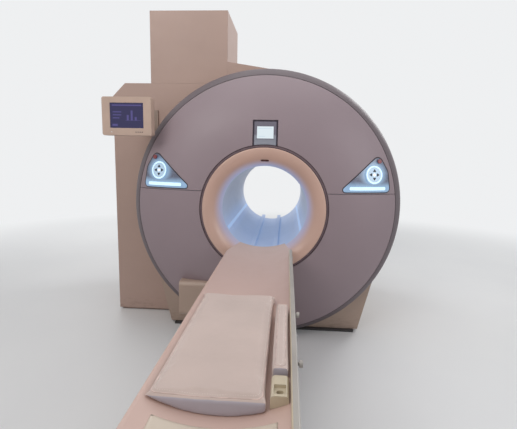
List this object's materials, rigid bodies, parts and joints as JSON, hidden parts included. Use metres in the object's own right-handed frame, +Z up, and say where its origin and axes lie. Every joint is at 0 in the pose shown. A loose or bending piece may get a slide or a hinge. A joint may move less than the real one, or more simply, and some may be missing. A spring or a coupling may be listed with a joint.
{
  "type": "mri scanner",
  "caption": "Closed-bore MRI scanner with a round domed front, lit control panels, service column, swivelling monitor and a lifting, sliding patient table.",
  "frame": {"origin": "on the floor, straight under the isocentre: the centre of the magnet's eight anchor bolts", "axes": "+Z up, +Y along the bore from the patient table to the rear, +X to the right of someone who faces the front"},
  "size_m": [2.215, 3.917, 2.41],
  "materials": {
    "dome_paint": "satin mauve grey",
    "rim_paint": "satin dark grey",
    "beige_cover": "satin beige",
    "beige_light": "satin light beige",
    "column_paint": "satin beige",
    "liner": "satin ivory",
    "light_strip": "lit blue",
    "panel_light": "lit pale blue",
    "gasket": "matt black",
    "dark_window": "dark",
    "steel": "brushed",
    "dark_steel": "matt dark grey",
    "frame_steel": "satin grey",
    "copper": "wound conductor in resin",
    "resin": "cast resin",
    "panel_face": "dark blue under clear film",
    "key_dark": "matt dark",
    "key_light": "lit white",
    "stop_red": "gloss red",
    "bezel": "matt grey",
    "screen_white": "lit white",
    "screen_navy": "dark navy",
    "housing": "matt beige",
    "couch_shell": "satin ivory",
    "mattress_cover": "coated fabric",
    "rail_paint": "satin grey green",
    "alu": "brushed",
    "rubber_belt": "matt black"
  },
  "bodies": {
    "gantry": {"plinth": "dark_steel", "magnet_feet": "dark_steel", "vacuum_vessel": "steel", "helium_vessel": "steel", "magnet_coils": "copper", "gradient_coil": "resin", "body_coil": "copper", "bore_liner": "liner", "bore_lights": "light_strip", "flare_ring": "beige_light", "cover_gaskets": "gasket", "laser_window": "dark_window", "front_cover_upper": "dome_paint", "front_cover_lower": "dome_paint", "rim_band": "rim_paint", "side_cover_left": "beige_cover", "side_cover_right": "beige_cover", "rear_cover": "beige_cover", "rear_flare": "beige_light", "service_column": "column_paint", "chimney_cover": "column_paint", "turret_cover": "column_paint", "cold_head": "steel", "quench_pipe": "steel", "display_bezel": "bezel", "display_screen": "screen_white", "panel_left": "panel_face", "panel_right": "panel_face", "panel_lights": "panel_light", "dock_apron": "beige_light", "cable_duct": "beige_cover", "bridge_rails": "liner", "monitor_arm": "frame_steel", "table_base": "dark_steel"},
    "lift_stage": {"columns_middle": "alu"},
    "table_frame": {"lift_frame": "frame_steel", "table_shells": "beige_cover", "drive_unit": "rubber_belt"},
    "couch": {"tabletop": "couch_shell", "mattress": "mattress_cover", "arm_pad": "mattress_cover", "side_rails": "rail_paint"},
    "belt_drive_pulley": {"drive_pulley": "alu"},
    "belt_idler_pulley": {"idler_pulley": "alu"},
    "couch_roller": {"head_roller": "rubber_belt"},
    "monitor_swivel": {"monitor_yoke": "frame_steel"},
    "monitor_head": {"monitor_housing": "housing", "monitor_screen": "screen_navy"},
    "key_left_up_body": {"key_left_up": "key_dark"},
    "key_left_down_body": {"key_left_down": "key_dark"},
    "key_left_in_body": {"key_left_in": "key_dark"},
    "key_left_out_body": {"key_left_out": "key_dark"},
    "key_left_centre_body": {"key_left_centre": "key_light"},
    "stop_left_body": {"stop_left": "stop_red"},
    "key_right_up_body": {"key_right_up": "key_dark"},
    "key_right_down_body": {"key_right_down": "key_dark"},
    "key_right_in_body": {"key_right_in": "key_dark"},
    "key_right_out_body": {"key_right_out": "key_dark"},
    "key_right_centre_body": {"key_right_centre": "key_light"},
    "stop_right_body": {"stop_right": "stop_red"}
  },
  "joints": [
    {"name": "table_lift", "type": "slide", "parent": "gantry", "child": "table_frame", "axis": [0, 0, 1], "range_m": [-0.25, 0]},
    {"name": "stage_lift", "type": "slide", "parent": "gantry", "child": "lift_stage", "axis": [0, 0, 1], "range_m": [-0.125, 0]},
    {"name": "couch_slide", "type": "slide", "parent": "table_frame", "child": "couch", "axis": [0, 1, 0], "range_m": [0, 1.6]},
    {"name": "drive_pulley_spin", "type": "hinge", "parent": "table_frame", "child": "belt_drive_pulley", "pos_m": [0, -3.017, 0.641], "axis": [1, 0, 0], "continuous": true},
    {"name": "idler_pulley_spin", "type": "hinge", "parent": "table_frame", "child": "belt_idler_pulley", "pos_m": [0, -0.982, 0.641], "axis": [1, 0, 0], "continuous": true},
    {"name": "roller_spin", "type": "hinge", "parent": "table_frame", "child": "couch_roller", "pos_m": [0, -0.917, 0.6608], "axis": [1, 0, 0], "continuous": true},
    {"name": "monitor_pan", "type": "hinge", "parent": "gantry", "child": "monitor_swivel", "pos_m": [-0.935, -0.69, 1.57], "axis": [0, 0, 1], "range_deg": [-15, 15]},
    {"name": "monitor_tilt", "type": "hinge", "parent": "monitor_swivel", "child": "monitor_head", "pos_m": [-0.935, -0.73, 1.57], "axis": [1, 0, 0], "range_deg": [-10, 10]},
    {"name": "key_left_up_press", "type": "slide", "parent": "gantry", "child": "key_left_up_body", "axis": [0.3549, 0.9268, -0.1228], "range_m": [0, 0.002], "stiffness_N_per_m": 600, "springref_m": -0.001},
    {"name": "key_left_down_press", "type": "slide", "parent": "gantry", "child": "key_left_down_body", "axis": [0.3549, 0.9268, -0.1228], "range_m": [0, 0.002], "stiffness_N_per_m": 600, "springref_m": -0.001},
    {"name": "key_left_in_press", "type": "slide", "parent": "gantry", "child": "key_left_in_body", "axis": [0.3549, 0.9268, -0.1228], "range_m": [0, 0.002], "stiffness_N_per_m": 600, "springref_m": -0.001},
    {"name": "key_left_out_press", "type": "slide", "parent": "gantry", "child": "key_left_out_body", "axis": [0.3549, 0.9268, -0.1228], "range_m": [0, 0.002], "stiffness_N_per_m": 600, "springref_m": -0.001},
    {"name": "key_left_centre_press", "type": "slide", "parent": "gantry", "child": "key_left_centre_body", "axis": [0.3549, 0.9268, -0.1228], "range_m": [0, 0.002], "stiffness_N_per_m": 600, "springref_m": -0.001},
    {"name": "stop_left_press", "type": "slide", "parent": "gantry", "child": "stop_left_body", "axis": [0.4064, 0.8955, -0.1816], "range_m": [0, 0.004], "stiffness_N_per_m": 1500, "springref_m": -0.002},
    {"name": "key_right_up_press", "type": "slide", "parent": "gantry", "child": "key_right_up_body", "axis": [-0.3549, 0.9268, -0.1228], "range_m": [0, 0.002], "stiffness_N_per_m": 600, "springref_m": -0.001},
    {"name": "key_right_down_press", "type": "slide", "parent": "gantry", "child": "key_right_down_body", "axis": [-0.3549, 0.9268, -0.1228], "range_m": [0, 0.002], "stiffness_N_per_m": 600, "springref_m": -0.001},
    {"name": "key_right_in_press", "type": "slide", "parent": "gantry", "child": "key_right_in_body", "axis": [-0.3549, 0.9268, -0.1228], "range_m": [0, 0.002], "stiffness_N_per_m": 600, "springref_m": -0.001},
    {"name": "key_right_out_press", "type": "slide", "parent": "gantry", "child": "key_right_out_body", "axis": [-0.3549, 0.9268, -0.1228], "range_m": [0, 0.002], "stiffness_N_per_m": 600, "springref_m": -0.001},
    {"name": "key_right_centre_press", "type": "slide", "parent": "gantry", "child": "key_right_centre_body", "axis": [-0.3549, 0.9268, -0.1228], "range_m": [0, 0.002], "stiffness_N_per_m": 600, "springref_m": -0.001},
    {"name": "stop_right_press", "type": "slide", "parent": "gantry", "child": "stop_right_body", "axis": [-0.4064, 0.8955, -0.1816], "range_m": [0, 0.004], "stiffness_N_per_m": 1500, "springref_m": -0.002}
  ],
  "couplings": [
    {"joint": "stage_lift", "follows": "table_lift", "ratio": 0.5},
    {"joint": "drive_pulley_spin", "follows": "couch_slide", "rad_per_m": -46.512},
    {"joint": "idler_pulley_spin", "follows": "couch_slide", "rad_per_m": -46.512},
    {"joint": "roller_spin", "follows": "couch_slide", "rad_per_m": -45.455}
  ]
}
